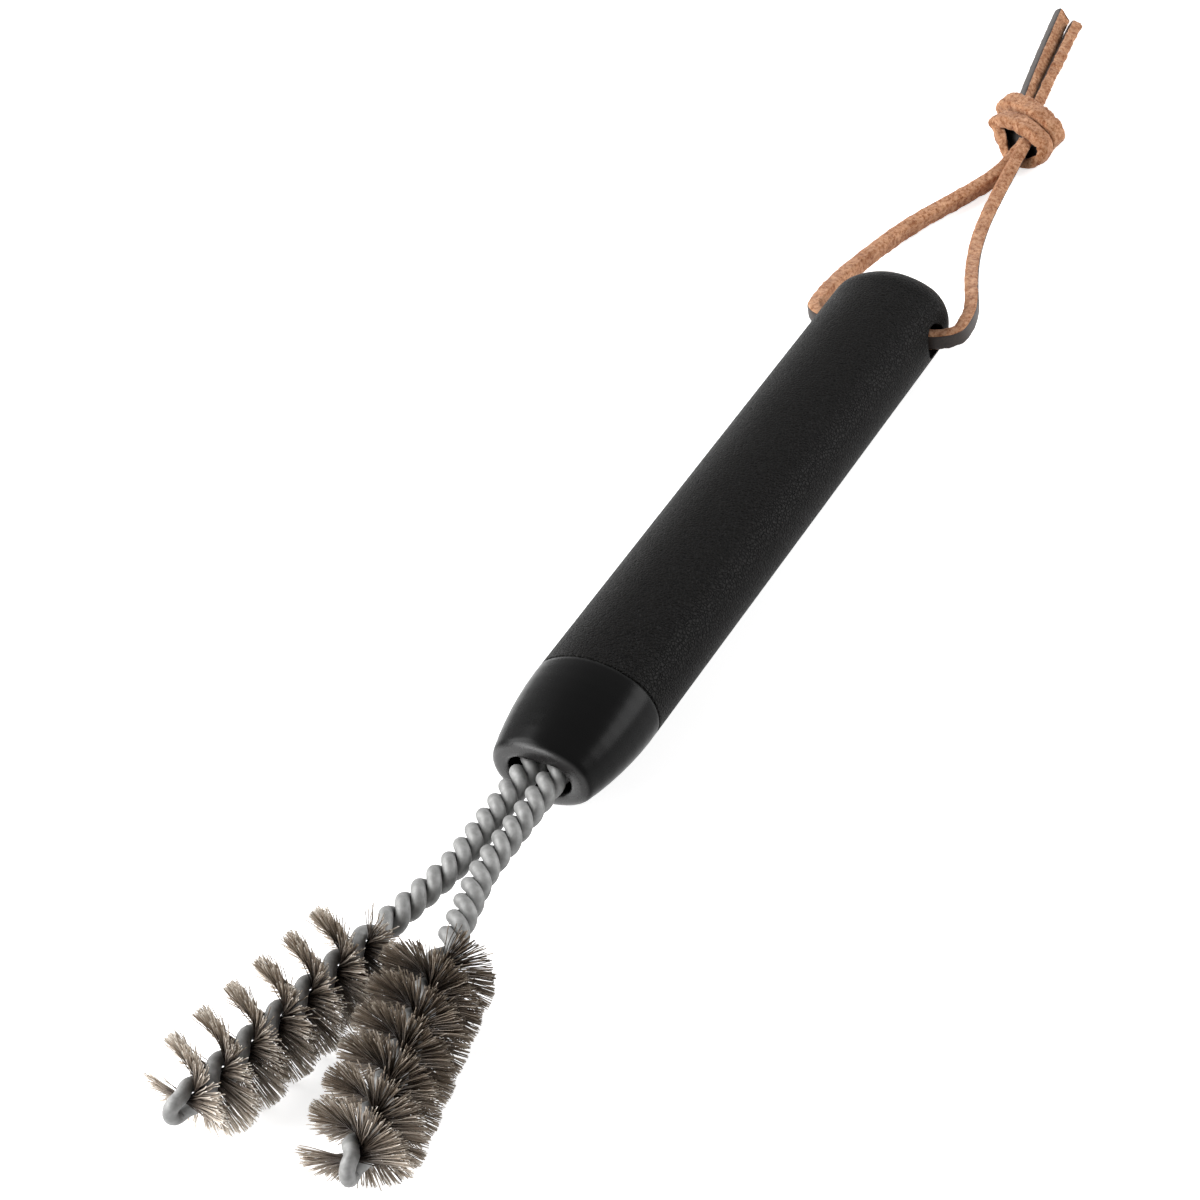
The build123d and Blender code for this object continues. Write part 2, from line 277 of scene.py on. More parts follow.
# %% [markdown]
# ## Inside the handle
#
# A stiff core bar carries the grip and the collar, and a plug holds the wires' tails. Nobody sees
# them until the handle is taken apart. Glass-filled nylon looks dark grey and dry, with faint
# specks where the fibres reach the surface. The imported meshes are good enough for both.

# %% Glass-filled nylon
SPECK_MM = 0.6  # real fibre ends are far finer and are drawn as coarse as they need to show


def glass_filled_nylon():
    """Moulded nylon with glass fibre in it: dry, grey and faintly speckled."""
    material = new_material("glass filled nylon")
    place = add_node(material, "ShaderNodeTexCoord").outputs["Object"]
    specks = add_node(
        material, "ShaderNodeTexNoise", {"Vector": place, "Scale": repeats(SPECK_MM), "Detail": 3.0}
    ).outputs["Fac"]
    colour = add_node(
        material, "ShaderNodeValToRGB", {"Fac": specks}, stops=((0.4, "2c2c2e"), (0.62, "3a3a3c"))
    ).outputs["Color"]
    relief = add_node(
        material, "ShaderNodeBump", {"Height": specks, "Distance": 0.03 * MM, "Strength": 0.4}
    ).outputs["Normal"]
    surface = add_node(material, "ShaderNodeBsdfPrincipled", {
        "Base Color": colour, "Roughness": 0.6, "Normal": relief,
    })
    add_node(material, "ShaderNodeOutputMaterial", {"Surface": surface.outputs["BSDF"]})
    return material


nylon = glass_filled_nylon()
dress("handle_core", nylon)
dress("wire_plug", nylon)

# %% [markdown]
# ## The stems
#
# Each arm is one steel wire, folded at its tip and twisted on itself like a rope, to the left. The
# wire is drawn and then zinc-coated. Zinc weathers to a matt, slightly mottled grey, so the eye
# reads metal from the broad sheen and not from reflections. A part metallic value with a high
# roughness gives that.

# %% Galvanised wire
MOTTLE_MM = 1.6
DRAW_MARK_MM = 0.25  # real drawing marks are finer and are drawn as coarse as they need to show


def galvanised_wire():
    """Drawn steel wire with a zinc coat, dull and slightly mottled."""
    material = new_material("galvanised drawn steel wire")
    place = add_node(material, "ShaderNodeTexCoord").outputs["Object"]
    mottle = add_node(
        material, "ShaderNodeTexNoise", {"Vector": place, "Scale": repeats(MOTTLE_MM), "Detail": 4}
    ).outputs["Fac"]
    marks = add_node(
        material, "ShaderNodeTexNoise", {"Vector": place, "Scale": repeats(DRAW_MARK_MM), "Detail": 2}
    ).outputs["Fac"]
    colour = add_node(
        material, "ShaderNodeValToRGB", {"Fac": mottle}, stops=((0.3, "767675"), (0.7, "939392"))
    ).outputs["Color"]
    roughness = add_node(
        material, "ShaderNodeMapRange", {"Value": marks, "To Min": 0.55, "To Max": 0.68}
    ).outputs["Result"]
    relief = add_node(
        material, "ShaderNodeBump", {"Height": marks, "Distance": 0.03 * MM, "Strength": 0.5}
    ).outputs["Normal"]
    surface = add_node(material, "ShaderNodeBsdfPrincipled", {
        "Base Color": colour, "Metallic": 0.35, "Roughness": roughness, "Normal": relief,
    })
    add_node(material, "ShaderNodeOutputMaterial", {"Surface": surface.outputs["BSDF"]})
    return material


zinc_wire = galvanised_wire()
print(zinc_wire.name, "has", len(zinc_wire.node_tree.nodes), "nodes")

# %% [markdown]
# The twist is fine where the stem is bare and coarser where it grips the bristles, and the stem
# bends outward between the collar and the head. A Screw modifier makes a spiral of one pitch only,
# so the spiral is worked out as a formula: turns are added up along the stem at a rate that
# changes. The bristles are laid between the strands before the twist, so they need the same spiral.

# %% Measures of the stems, along each arm from the front end of the grip
OVERALL_LENGTH = 305 * MM
WIRE_RADIUS = 1.65 * MM
BARE_HELIX, BRUSH_HELIX = 1.76 * MM, 2.15 * MM  # from the stem's middle to a strand's middle
BARE_PITCH, BRUSH_PITCH = 9.75 * MM, 17 * MM
SWITCH_AT, SWITCH_LENGTH = 78 * MM, 6 * MM  # where the fine twist becomes the coarse one
SWITCH_PHASE = math.radians(108)  # how the strands stand there
TWIST_START, UNTWIST = -3 * MM, 4 * MM
STEM_OFFSET, ARM_ANGLE = 3.45 * MM, math.radians(12.4)
BEND_RADIUS, BEND_AT = 40 * MM, 57.5 * MM
TAIL_DEPTH = 24 * MM
SPIRAL_STEP = 0.05 * MM

grip_low, grip_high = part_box("grip_sleeve")
SEAM_X = grip_high.x
AXIS_Z = (grip_low.z + grip_high.z) / 2
TIP_X = OVERALL_LENGTH / 2

bend_start = BEND_AT - BEND_RADIUS * math.tan(ARM_ANGLE / 2)
bend_end = bend_start + BEND_RADIUS * ARM_ANGLE
bend_end_x = bend_start + BEND_RADIUS * math.sin(ARM_ANGLE)
loop_at = bend_end + (TIP_X - SEAM_X - bend_end_x - WIRE_RADIUS) / math.cos(ARM_ANGLE) - BRUSH_HELIX
print("the wire folds", round(loop_at / MM, 1), "mm along each arm")

# %% The spiral


def smooth(share):
    """0 before 0, 1 after 1, and smooth between."""
    share = np.clip(share, 0.0, 1.0)
    return share * share * (3 - 2 * share)


def widening(distance):
    """0 where the stem is bare, 1 where bristles lie between its strands."""
    return smooth((distance - SWITCH_AT) / SWITCH_LENGTH + 0.5)


def twist_rate(distance):
    """Turns per metre."""
    rate = 1 / BARE_PITCH + widening(distance) * (1 / BRUSH_PITCH - 1 / BARE_PITCH)
    return rate * smooth((distance - TWIST_START) / UNTWIST) * smooth((loop_at - distance) / UNTWIST)


spiral_stops = np.arange(TWIST_START - 1 * MM, loop_at + 1 * MM, SPIRAL_STEP)
spiral_turns = np.concatenate(
    [[0], np.cumsum(twist_rate(spiral_stops[:-1] + SPIRAL_STEP / 2)) * SPIRAL_STEP]
)
spiral_turns -= np.interp(SWITCH_AT, spiral_stops, spiral_turns)


def twist_angle(distance):
    """How the strands are turned about the stem, left-handed."""
    return SWITCH_PHASE - 2 * math.pi * np.interp(distance, spiral_stops, spiral_turns)


print("each stem is twisted", round(spiral_turns[-1] - spiral_turns[0], 1), "times")

# %% A stem's middle and its strands


def stem_frame(distance, side):
    """Middle of a stem and unit vectors along it and across it, for an array of distances."""
    distance = np.atleast_1d(distance)
    turn = np.clip((distance - bend_start) / BEND_RADIUS, 0, ARM_ANGLE)
    run = np.maximum(distance - bend_end, 0)
    x = np.minimum(distance, bend_start) + BEND_RADIUS * np.sin(turn) + run * np.cos(ARM_ANGLE)
    y = STEM_OFFSET + BEND_RADIUS * (1 - np.cos(turn)) + run * np.sin(ARM_ANGLE)
    middle = np.stack([SEAM_X + x, side * y, np.full_like(x, AXIS_Z)], -1)
    along = np.stack([np.cos(turn), side * np.sin(turn), np.zeros_like(x)], -1)
    across = np.stack([-along[:, 1], along[:, 0], np.zeros_like(x)], -1)
    return middle, along, across


def strand_line(distance, turn, side):
    """Middle line of one strand."""
    middle, _, across = stem_frame(distance, side)
    angle = (twist_angle(distance) + turn)[:, None]
    helix = BARE_HELIX + widening(distance) * (BRUSH_HELIX - BARE_HELIX)
    return middle + (across * np.cos(angle) + UP * np.sin(angle)) * helix[:, None]


print("the arms' tips are", round(stem_frame(loop_at, 1)[0][0, 1] * 2 / MM, 1), "mm apart")

# %% [markdown]
# A round wire could be a curve with a bevel. Here the tube is built from rings of points, because
# the same rings also make the bristles and the flat lace. A ring must not roll as it is carried
# along a spiral, or the tube looks wrung, so each ring takes over its neighbour's direction.

# %% Tube maker


def unrolled_sides(line):
    """Two directions square to a line at each point, carried along it without rolling."""
    tangents = np.gradient(line, axis=0)
    tangents /= np.linalg.norm(tangents, axis=1)[:, None]
    first = np.cross(tangents[0], UP)
    normals = [first / np.linalg.norm(first)]
    for tangent in tangents[1:]:
        normal = normals[-1] - tangent * np.dot(normals[-1], tangent)
        normals.append(normal / np.linalg.norm(normal))
    normals = np.array(normals)
    return normals, np.cross(tangents, normals)


def tube_points(line, radius, around):
    """Rings of points round a line."""
    side_way, up_way = unrolled_sides(line)
    angle = np.arange(around) / around * 2 * math.pi
    ring = side_way[:, None] * np.cos(angle)[None, :, None] + up_way[:, None] * np.sin(angle)[None, :, None]
    return (line[:, None] + ring * radius).reshape(-1, 3)


def ring_faces(rings, around, close_ends=True):
    """Quads between rings of points, and flat ends."""
    ring, step = np.meshgrid(np.arange(rings - 1), np.arange(around), indexing="ij")
    after = (step + 1) % around
    low, high = ring * around, (ring + 1) * around
    quads = np.stack([low + step, low + after, high + after, high + step], -1).reshape(-1, 4).tolist()
    if close_ends:
        quads.append(list(range(around))[::-1])
        quads.append([(rings - 1) * around + i for i in range(around)])
    return quads


def mesh_piece(name, points, faces, materials, smooth_shade=True):
    """A mesh object from arrays."""
    mesh = bpy.data.meshes.new(name)
    mesh.from_pydata([tuple(p) for p in points], [], [tuple(int(i) for i in f) for f in faces])
    for material in materials:
        mesh.materials.append(material)
    if smooth_shade:
        mesh.shade_smooth()
    piece = bpy.data.objects.new(name, mesh)
    bpy.context.scene.collection.objects.link(piece)
    return piece


print("a closed tube of 3 rings of 8 points has", len(ring_faces(3, 8)), "faces")

# %% [markdown]
# The folded wire starts as a straight tail in the handle, goes out as one strand, loops over the
# tip and comes back as the other strand. The loop is a half circle about the stem's middle. One
# unbroken line gives one tube, so the fold at the tip is real and not two ends pushed together.

# %% Folded wires
WIRE_SIDES = 20
WIRE_STEP, LOOP_POINTS, TAIL_POINTS = 0.3 * MM, 14, 8
ARMS = ((-1, "left"), (1, "right"))  # -1 and 1 are the sides of the brush, along Y


def folded_wire_line(side):
    """The whole wire's middle line, end to end."""
    distance = np.arange(TWIST_START, loop_at, WIRE_STEP)
    distance = np.append(distance, loop_at)
    there = strand_line(distance, 0, side)
    back = strand_line(distance, math.pi, side)[::-1]
    middle, along, _ = stem_frame(loop_at, side)
    turn = np.linspace(0, math.pi, LOOP_POINTS)[1:-1, None]
    loop = middle + (there[-1] - middle) * np.cos(turn) + along * BRUSH_HELIX * np.sin(turn)
    tail = np.array([TAIL_DEPTH + TWIST_START, 0, 0])
    steps = np.linspace(1, 0, TAIL_POINTS)[:-1, None]
    return np.concatenate([there[0] - tail * steps, there, loop, back, back[-1] - tail * steps[::-1]])


for side, arm in ARMS:
    line = folded_wire_line(side)
    points = tube_points(line, WIRE_RADIUS, WIRE_SIDES)
    wire = mesh_piece(f"{arm}_stem_wire", points, ring_faces(len(line), WIRE_SIDES), [zinc_wire])
    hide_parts(f"{arm}_stem")
    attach(wire, "brush")
    print(wire.name, len(wire.data.polygons), "faces")

# %% [markdown]
# ## The bristles
#
# Bristles are fine steel wires. Near the stem they stand so close that little light gets in, and
# they look dark. Their cut tips catch the light and look pale. One material shows both, because
# each filament carries two numbers: reach is 0 at the stem and 1 at the tip, and tone makes some
# filaments paler than others. Painting every filament by hand would be the other way.

# %% Bristle steel


def bristle_steel():
    """Fine drawn steel: dark at the root, brown along the wire and pale at the tip."""
    material = new_material("fine crimped steel bristle wire")
    reach = add_node(material, "ShaderNodeAttribute", attribute_name="reach").outputs["Fac"]
    tone = add_node(material, "ShaderNodeAttribute", attribute_name="tone").outputs["Fac"]
    along = add_node(
        material, "ShaderNodeValToRGB", {"Fac": reach},
        stops=((0.0, "1a1613"), (0.4, "5e5349"), (0.9, "cdc1b3"), (1.0, "fffaf2")),
    ).outputs["Color"]
    each = add_node(
        material, "ShaderNodeValToRGB", {"Fac": tone},
        stops=((0.0, "665d54"), (0.6, "bdb4aa"), (1.0, "ffffff")),
    ).outputs["Color"]
    colour = add_node(
        material, "ShaderNodeMix", {0: 1.0, 6: along, 7: each}, data_type="RGBA", blend_type="MULTIPLY"
    ).outputs[2]
    roughness = add_node(
        material, "ShaderNodeMapRange", {"Value": tone, "To Min": 0.28, "To Max": 0.5}
    ).outputs["Result"]
    # Steel is fully metallic, but thin mirrors by the thousand would mostly show the gaps between them.
    surface = add_node(material, "ShaderNodeBsdfPrincipled", {
        "Base Color": colour, "Metallic": 0.3, "Roughness": roughness,
    })
    add_node(material, "ShaderNodeOutputMaterial", {"Surface": surface.outputs["BSDF"]})
    return material


bristle_wire = bristle_steel()
print(bristle_wire.name, "has", len(bristle_wire.node_tree.nodes), "nodes")

# %% [markdown]
# The filaments are laid between the two strands before the twist. So each one goes straight
# through the stem, square to the line between the strands, and the row becomes a spiral staircase
# of fans. Cut steel wire is never quite straight or square, so each one leans, bends and crimps a
# little by chance, and neighbours lean together in clumps. A hair system could grow them, but its
# roots would sit on a surface, and these pass through a gap. All of the chance comes from one
# seed, so every run gives the same brush.

# %% The lines of the filaments
BRUSH_START, BRUSH_END = 84 * MM, 138.2 * MM  # along each arm
BRISTLE_RADIUS = 13 * MM
HALVES_PER_MM = 62  # each half of a filament is drawn on its own, from the stem out
SEGMENTS = 5
ROOT_SHARE = 0.03
FAN_SCATTER = math.radians(8.5)
CLUMP = 0.9 * MM  # length of stem whose filaments lean together
CLUMP_LEAN, CLUMP_CHANGE = 0.05, 2.4  # radians: how far they lean, and the step to the next clump
LEAN_ALONG = 0.05
CUT_SHORT, CUT_SCATTER, CUT_LEAST = 0.45 * MM, 0.25 * MM, 0.25 * MM  # short of the full radius
BEND, CRIMP = 0.4 * MM, 0.12 * MM
CRIMP_WAVE = 9  # radians of the crimp's wave down one filament
random_wire = np.random.default_rng(7)


def filament_lines(side, start, end):
    """The halves of one fan's filaments: lines, two ways across each, and places on the arm."""
    count = int((end - start) / MM * HALVES_PER_MM) // 2 * 2
    distance = random_wire.uniform(start, end, count)
    middle, along, across = stem_frame(distance, side)
    way = np.where(np.arange(count) % 2 == 0, 0.0, math.pi)
    clump = np.round(distance / CLUMP)
    lean = random_wire.normal(0, FAN_SCATTER, count) + CLUMP_LEAN * np.sin(clump * CLUMP_CHANGE + way)
    angle = (twist_angle(distance) + math.pi / 2 + way + lean)[:, None]
    outward = across * np.cos(angle) + UP * np.sin(angle)
    sideways = -across * np.sin(angle) + UP * np.cos(angle)
    outward += along * random_wire.normal(0, LEAN_ALONG, (count, 1))
    outward /= np.linalg.norm(outward, axis=1)[:, None]
    reach = BRISTLE_RADIUS + random_wire.normal(-CUT_SHORT, CUT_SCATTER, count)
    reach = np.minimum(reach, BRISTLE_RADIUS - CUT_LEAST)
    share = np.linspace(ROOT_SHARE, 1, SEGMENTS + 1)
    bend = random_wire.normal(0, BEND, (count, 2))
    wave = random_wire.uniform(0, 2 * math.pi, count)
    crimp = CRIMP * np.sin(share * CRIMP_WAVE + wave[:, None])
    line = middle[:, None] + outward[:, None] * (reach[:, None] * share)[..., None]
    line += sideways[:, None] * (bend[:, :1] * share**2 + crimp)[..., None]
    line += along[:, None] * (bend[:, 1:] * share**2)[..., None]
    return line, sideways, along, distance


print("about", round((BRUSH_END - BRUSH_START) / MM * HALVES_PER_MM), "half filaments on each arm")

# %% [markdown]
# A three-sided tube is enough for a wire this thin, and keeps thousands of them light. The bristles
# of the left arm are a shade paler than those of the right. Both are painted paler towards the
# front end of the brush: painted light there.

# %% Filament tubes
FILAMENT_RADIUS = 0.12 * MM
FILAMENT_SIDES = 3
BRISTLE_FLOOR = 0.02 * MM  # the lowest tips stop just above the table
# Along each arm the tone rises towards the brush's front end as painted light.
TONE_BY_CHANCE, PAINTED_LIGHT_ALONG_ARM = 0.75, 0.25
ARM_TONE = {"left": 0.33, "right": -0.05}


def filament_fan(name, side, start, end, arm_tone):
    """All the half filaments of one fan as one mesh, with reach and tone on its points."""
    line, sideways, along, distance = filament_lines(side, start, end)
    count, rings = line.shape[:2]
    corner = np.arange(FILAMENT_SIDES) / FILAMENT_SIDES * 2 * math.pi
    ring = sideways[:, None, None] * np.cos(corner)[None, None, :, None]
    ring = ring + along[:, None, None] * np.sin(corner)[None, None, :, None]
    points = (line[:, :, None] + ring * FILAMENT_RADIUS).reshape(-1, 3)
    points[:, 2] = np.maximum(points[:, 2], BRISTLE_FLOOR)
    one = np.array(ring_faces(rings, FILAMENT_SIDES, close_ends=False))
    faces = (one[None] + np.arange(count)[:, None, None] * FILAMENT_SIDES * rings).reshape(-1, 4)
    fan = mesh_piece(name, points, faces, [bristle_wire])
    along_arm = (distance - BRUSH_START) / (BRUSH_END - BRUSH_START)
    tone = random_wire.uniform(0, TONE_BY_CHANCE, count) + PAINTED_LIGHT_ALONG_ARM * along_arm
    tone = (tone + arm_tone)[:, None, None]
    reach = np.linspace(ROOT_SHARE, 1, rings)[None, :, None]
    for label, value in (("reach", reach), ("tone", tone)):
        values = np.broadcast_to(value, (count, rings, FILAMENT_SIDES))
        layer = fan.data.attributes.new(label, "FLOAT", "POINT")
        layer.data.foreach_set("value", np.ascontiguousarray(values, np.float32).ravel())
    return fan, count


for side, arm in ARMS:
    nodes = sorted(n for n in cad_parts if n.startswith(f"{arm}_bristle_fan"))
    step = (BRUSH_END - BRUSH_START) / len(nodes)
    for index, node in enumerate(nodes):
        start = BRUSH_START + index * step
        fan, count = filament_fan(f"{node}_filaments", side, start, start + step, ARM_TONE[arm])
        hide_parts(node)
        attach(fan, "brush")
    print(arm, "arm:", len(nodes), "fans of", count, "half filaments")

# %% [markdown]
# ## The lace
#
# The lace is a strip cut from a hide. The cut sides are raw tan suede: short fibres stand up and
# scatter light, so they look soft, pale and speckled. A multiplied speckle over a slow change of
# tone gives that, with a little sheen for the fibres that catch light at the edge of the form.

# %% Suede
NAP_MM = 1.0  # tufts of real nap are about half as wide and are drawn as coarse as they need to show
FIBRE_MM = 0.45


def suede():
    """Raw suede of a cut edge: pale raised fibres with brown specks between them."""
    material = new_material("raw tan suede of a cut lace")
    place = add_node(material, "ShaderNodeTexCoord").outputs["Object"]
    nap = add_node(
        material, "ShaderNodeTexNoise",
        {"Vector": place, "Scale": repeats(NAP_MM), "Detail": 6, "Roughness": 0.8},
    ).outputs["Fac"]
    fibres = add_node(
        material, "ShaderNodeTexNoise",
        {"Vector": place, "Scale": repeats(FIBRE_MM), "Detail": 3, "Roughness": 0.7},
    ).outputs["Fac"]
    patches = add_node(
        material, "ShaderNodeTexNoise", {"Vector": place, "Scale": repeats(4.0), "Detail": 3}
    ).outputs["Fac"]
    base = add_node(
        material, "ShaderNodeValToRGB", {"Fac": patches}, stops=((0.3, "ab7c5b"), (0.7, "d4a683"))
    ).outputs["Color"]
    specks = add_node(
        material, "ShaderNodeValToRGB", {"Fac": nap},
        stops=((0.36, "80502f"), (0.45, "d3b296"), (0.56, "ffffff")),
    ).outputs["Color"]
    colour = add_node(
        material, "ShaderNodeMix", {0: 0.8, 6: base, 7: specks}, data_type="RGBA", blend_type="MULTIPLY"
    ).outputs[2]
    nap_relief = add_node(
        material, "ShaderNodeBump", {"Height": nap, "Distance": 0.3 * MM, "Strength": 0.9}
    ).outputs["Normal"]
    relief = add_node(
        material, "ShaderNodeBump",
        {"Height": fibres, "Distance": 0.18 * MM, "Strength": 0.8, "Normal": nap_relief},
    ).outputs["Normal"]
    surface = add_node(material, "ShaderNodeBsdfPrincipled", {
        "Base Color": colour, "Roughness": 0.92, "Specular IOR Level": 0.15, "Sheen Weight": 0.15,
        "Normal": relief,
    })
    add_node(material, "ShaderNodeOutputMaterial", {"Surface": surface.outputs["BSDF"]})
    return material


lace_suede = suede()
print(lace_suede.name, "has", len(lace_suede.node_tree.nodes), "nodes")

# %% [markdown]
# The fourth side is the hide's smooth grain, dyed dark brown. No fibres stand up from it, so it
# looks darker and a little shiny next to the suede. It is a second material on the same mesh,
# given to the faces of that side, because the two sides share their edges.

# %% Grain leather
PORE_MM = 0.5  # real pores are finer and are drawn as coarse as they need to show


def grain_leather():
    """The hide's smooth side, dyed dark brown, with fine pores."""
    material = new_material("dark brown grain side of the lace")
    place = add_node(material, "ShaderNodeTexCoord").outputs["Object"]
    pores = add_node(
        material, "ShaderNodeTexNoise", {"Vector": place, "Scale": repeats(PORE_MM), "Detail": 3}
    ).outputs["Fac"]
    colour = add_node(
        material, "ShaderNodeValToRGB", {"Fac": pores}, stops=((0.35, "1d1613"), (0.65, "2f241e"))
    ).outputs["Color"]
    roughness = add_node(
        material, "ShaderNodeMapRange", {"Value": pores, "To Min": 0.42, "To Max": 0.6}
    ).outputs["Result"]
    relief = add_node(
        material, "ShaderNodeBump", {"Height": pores, "Distance": 0.06 * MM, "Strength": 0.6}
    ).outputs["Normal"]
    surface = add_node(material, "ShaderNodeBsdfPrincipled", {
        "Base Color": colour, "Roughness": roughness, "Specular IOR Level": 0.35, "Normal": relief,
    })
    add_node(material, "ShaderNodeOutputMaterial", {"Surface": surface.outputs["BSDF"]})
    return material


lace_grain = grain_leather()
print(lace_grain.name, "has", len(lace_grain.node_tree.nodes), "nodes")

# %% [markdown]
# The strip is nearly square in section. It could be a curve with a square bevel, but a curve can't
# tear its surface or put another material on one side. So the strip is built from rings, like the
# wire: each ring is a square with round corners, laid out by where the grain side looks.

# %% Helpers for the strip
LACE_WIDTH, LACE_THICKNESS = 4.4 * MM, 3.6 * MM
STRIP_STEP = 0.45 * MM
STRIP_POINTS = 28  # round one ring
SQUARENESS = 2 / 5.0  # 1 is an ellipse, and 0 is a rectangle
LONG_TEARS, SHORT_FIBRES = 420, 1500  # per metre
TEAR_SHARE, FIBRE_SHARE = 0.75, 0.5
GRAIN_CALM = 0.25  # the grain side stands off by this share of what the cut sides do
CALM_COSINE = 0.75  # and is as calm as that where its angle's cosine is larger than this
GRAIN_REACH = math.radians(46)  # how far round from its middle the dark colour goes
LACE_FLOOR = 0.03 * MM  # the strip's lowest points stop just above the table


def unit(vectors):
    """The same directions, one long."""
    return vectors / np.linalg.norm(vectors, axis=-1, keepdims=True)


def line_length(line):
    """Length of a line of points."""
    return float(np.linalg.norm(np.diff(line, axis=0), axis=1).sum())


def evenly_spaced(line, step=STRIP_STEP, closed=False):
    """The same line with its points one step apart."""
    if closed:
        line = np.concatenate([line, line[:1]])
    distance = np.concatenate([[0], np.cumsum(np.linalg.norm(np.diff(line, axis=0), axis=1))])
    stops = np.linspace(0, distance[-1], int(round(distance[-1] / step)) + 1)
    spaced = np.stack([np.interp(stops, distance, line[:, i]) for i in range(3)], -1)
    return spaced[:-1] if closed else spaced


def cut_roughness(point, spread):
    """How far a knife-cut suede surface stands off at a point: long tears and short fibres."""
    tears = noise_field.noise(Vector(point) * LONG_TEARS)
    fibres = noise_field.noise(Vector(point) * SHORT_FIBRES + Vector((3, 5, 7)))
    return spread * (TEAR_SHARE * tears + FIBRE_SHARE * fibres)


print("the strip is", round(LACE_WIDTH / MM, 1), "by", round(LACE_THICKNESS / MM, 1), "mm")

# %% The strip


def strip_mesh(name, line, grain_way, closed=False, width=LACE_WIDTH, thickness=LACE_THICKNESS,
               rough=0.3 * MM, slimness=1.0):
    """A leather strip along a line. grain_way is where its grain side looks, at each point."""
    count = len(line)
    ahead = np.roll(line, -1, 0) - np.roll(line, 1, 0)
    if not closed:
        ahead[0], ahead[-1] = line[1] - line[0], line[-1] - line[-2]
    tangents = unit(ahead)
    grain_way = np.broadcast_to(grain_way, line.shape)
    outward = unit(grain_way - tangents * np.sum(grain_way * tangents, axis=1)[:, None])
    edgeways = np.cross(tangents, outward)
    angle = (np.arange(STRIP_POINTS) + 0.5) / STRIP_POINTS * 2 * math.pi
    out_share = np.sign(np.cos(angle)) * np.abs(np.cos(angle)) ** SQUARENESS * thickness / 2
    edge_share = np.sign(np.sin(angle)) * np.abs(np.sin(angle)) ** SQUARENESS * width / 2
    out_share = np.broadcast_to(slimness, count)[:, None] * out_share
    edge_share = np.broadcast_to(edge_share, (count, STRIP_POINTS))
    arms = outward[:, None] * out_share[..., None] + edgeways[:, None] * edge_share[..., None]
    points = (line[:, None] + arms).reshape(-1, 3)
    ways = unit(arms.reshape(-1, 3) + 1e-9)
    on_grain = np.tile(np.cos(angle) > CALM_COSINE, count)
    for i, point in enumerate(points):
        point += ways[i] * cut_roughness(point, rough * (GRAIN_CALM if on_grain[i] else 1.0))
    points[:, 2] = np.maximum(points[:, 2], LACE_FLOOR)
    if closed:
        faces = (np.array(ring_faces(count + 1, STRIP_POINTS, close_ends=False)) % len(points)).tolist()
    else:
        faces = ring_faces(count, STRIP_POINTS)
    strip = mesh_piece(name, points, faces, [lace_suede, lace_grain])
    face_angle = (np.arange(STRIP_POINTS) + 1) / STRIP_POINTS * 2 * math.pi
    grain_faces = np.cos(face_angle) > math.cos(GRAIN_REACH)
    for polygon in strip.data.polygons:
        if len(polygon.vertices) == 4 and grain_faces[polygon.index % STRIP_POINTS]:
            polygon.material_index = 1
    return strip


def lay_on_brush(piece, *nodes):
    """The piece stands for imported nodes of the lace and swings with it."""
    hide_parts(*nodes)
    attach(piece, "lace")
    print(piece.name, len(piece.data.polygons), "faces")
    return piece


# %% [markdown]
# The strip goes through the cross-hole in the grip, and its two halves run to the knot. Leather
# this thick bends in wide arcs, so each half follows a spline that a few points pull into shape. It
# could be dropped by a cloth simulation, but then nobody could say where the knot ends up. The
# grain looks forward in the hole, and each half rolls over a little on its way to the knot.

# %% Legs of the loop
HOLE_X, HOLE_Z = -137.5, 12.2  # mm
RIGHT_ROUTE = (
    (HOLE_X, 0, HOLE_Z), (HOLE_X, 19.6, HOLE_Z), (-151, 20, 12.2), (-170, 10.5, 8.7),
    (-190, 2.4, 4.9), (-212.7, -3.2, 2.5), (-238, -4.2, 5.6),
)
LEFT_ROUTE = (
    (HOLE_X, 0, HOLE_Z), (HOLE_X, -20, 12.6), (-151, -23.3, 9.8), (-174, -24.4, 4.8),
    (-198, -20.2, 2.5), (-217, -10.6, 2.5), (-229, -6.2, 2.6), (-240, -5.4, 4.2),
)
# name, route, side of the brush, and roll in degrees at the knot
LEGS = (("lace_right", RIGHT_ROUTE, 1, -31), ("lace_left", LEFT_ROUTE, -1, 14))
ROLL_LENGTH, ROLL_DELAY = 58 * MM, 0.35  # the roll starts after this share of its length


def spline_curve(name, route_mm):
    """An open NURBS curve with the route's points as its control points."""
    curve = bpy.data.curves.new(name, "CURVE")
    curve.dimensions = "3D"
    spline = curve.splines.new("NURBS")
    spline.points.add(len(route_mm) - 1)
    for point, (x, y, z) in zip(spline.points, route_mm):
        point.co = (x * MM, y * MM, z * MM, 1)
    spline.order_u = 3
    spline.use_endpoint_u = True
    spline.resolution_u = 24
    return curve


def route_line(name, route_mm):
    """The spline's own points, read back as a line."""
    curve = spline_curve(name, route_mm)
    holder = bpy.data.objects.new(name, curve)
    bpy.context.scene.collection.objects.link(holder)
    mesh = bpy.data.meshes.new_from_object(holder)
    line = np.array([v.co for v in mesh.vertices])
    bpy.data.objects.remove(holder)
    bpy.data.curves.remove(curve)
    bpy.data.meshes.remove(mesh)
    return evenly_spaced(line)


